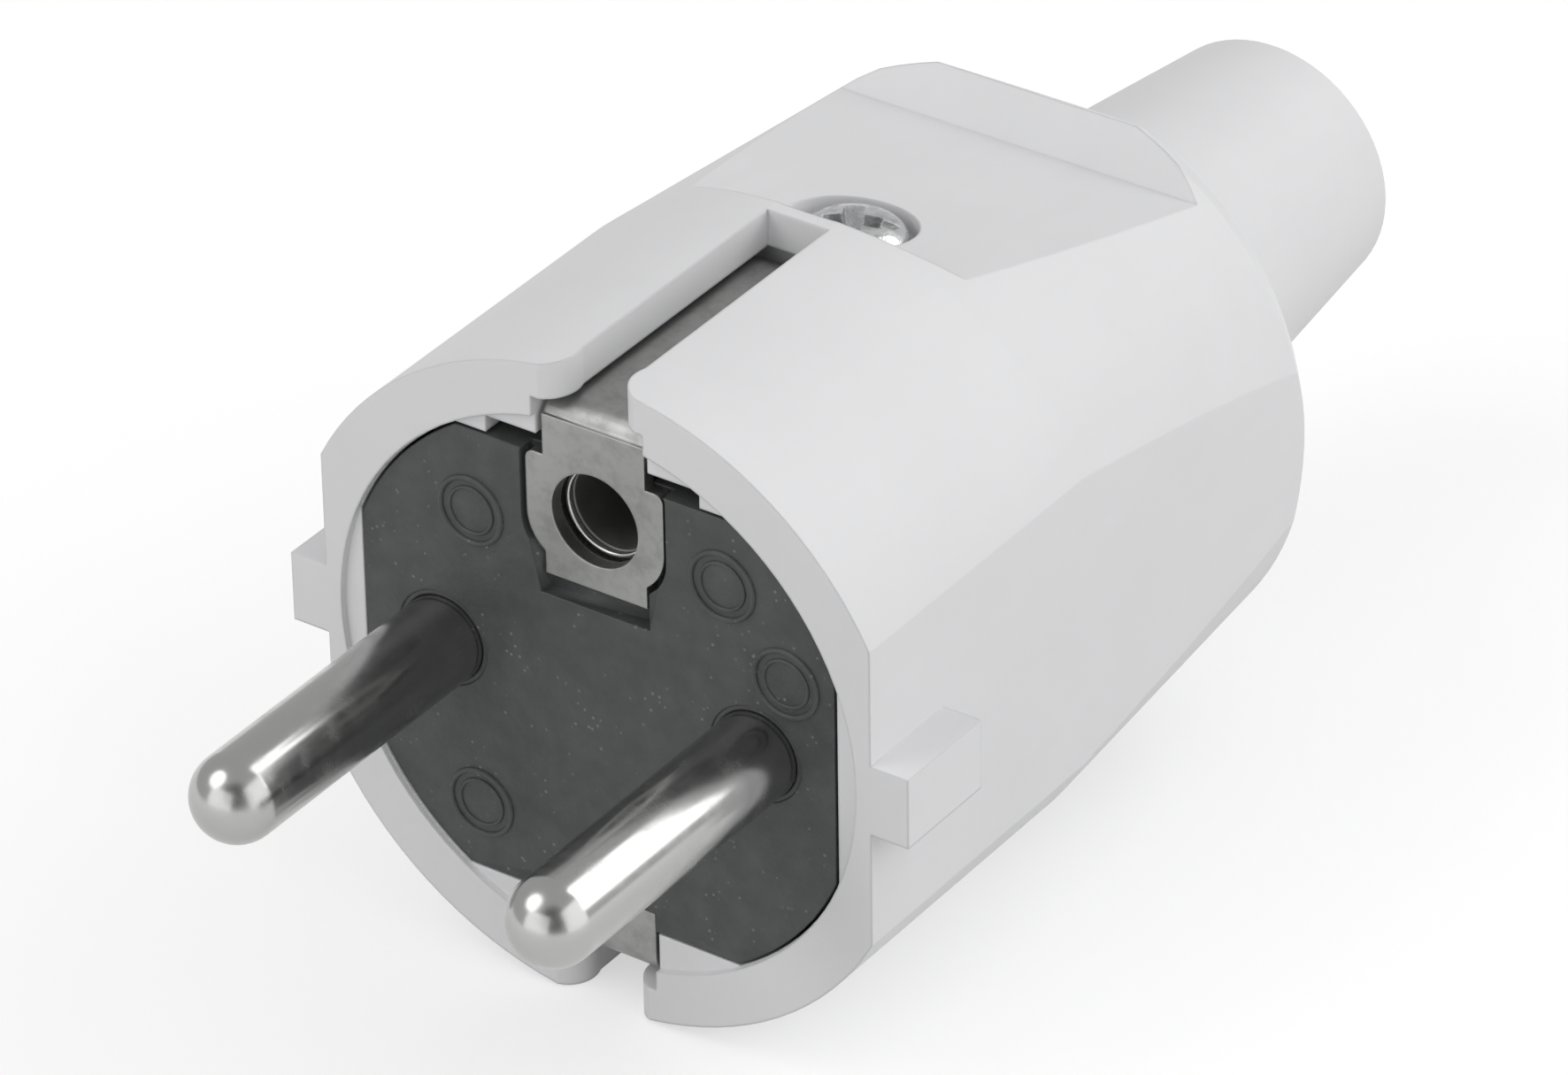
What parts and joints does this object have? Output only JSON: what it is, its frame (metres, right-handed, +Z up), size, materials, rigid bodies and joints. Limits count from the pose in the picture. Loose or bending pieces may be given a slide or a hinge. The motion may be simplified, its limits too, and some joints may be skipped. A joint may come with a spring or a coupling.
{
  "type": "schuko plug",
  "caption": "Straight earthed mains plug: drafted grey barrel with side flats and slotted earth contacts, dark contact carrier, round pins and a tapered cord neck.",
  "frame": {"origin": "centre of the rim's front plane, on the plug's axis", "axes": "+Y runs from the rim along the plug's axis to the cord inlet, +X runs to the right pin seen from the pins, +Z is up through the slot of the earth lug"},
  "size_m": [0.0374, 0.0825, 0.037],
  "materials": {
    "housing_plastic": "satin light grey moulding",
    "carrier_plastic": "fine-grained dark grey moulding",
    "nickel_plated_brass": "bright nickel plating on turned brass",
    "nickel_plated_strip": "satin nickel plating on stamped strip",
    "plain_brass": "turned",
    "zinc_plated_steel": "bright zinc plating"
  },
  "bodies": {
    "root": {"housing": "housing_plastic", "contact_carrier": "carrier_plastic", "left_pin": "nickel_plated_brass", "right_pin": "nickel_plated_brass", "earth_bracket": "nickel_plated_strip", "earth_socket_sleeve": "nickel_plated_strip", "earth_terminal": "plain_brass", "left_terminal_screw": "zinc_plated_steel", "right_terminal_screw": "zinc_plated_steel", "earth_terminal_screw": "zinc_plated_steel", "cord_clamp_saddle": "carrier_plastic", "left_clamp_screw": "zinc_plated_steel", "right_clamp_screw": "zinc_plated_steel", "housing_screw": "zinc_plated_steel", "housing_screw_nut": "zinc_plated_steel"}
  },
  "joints": []
}
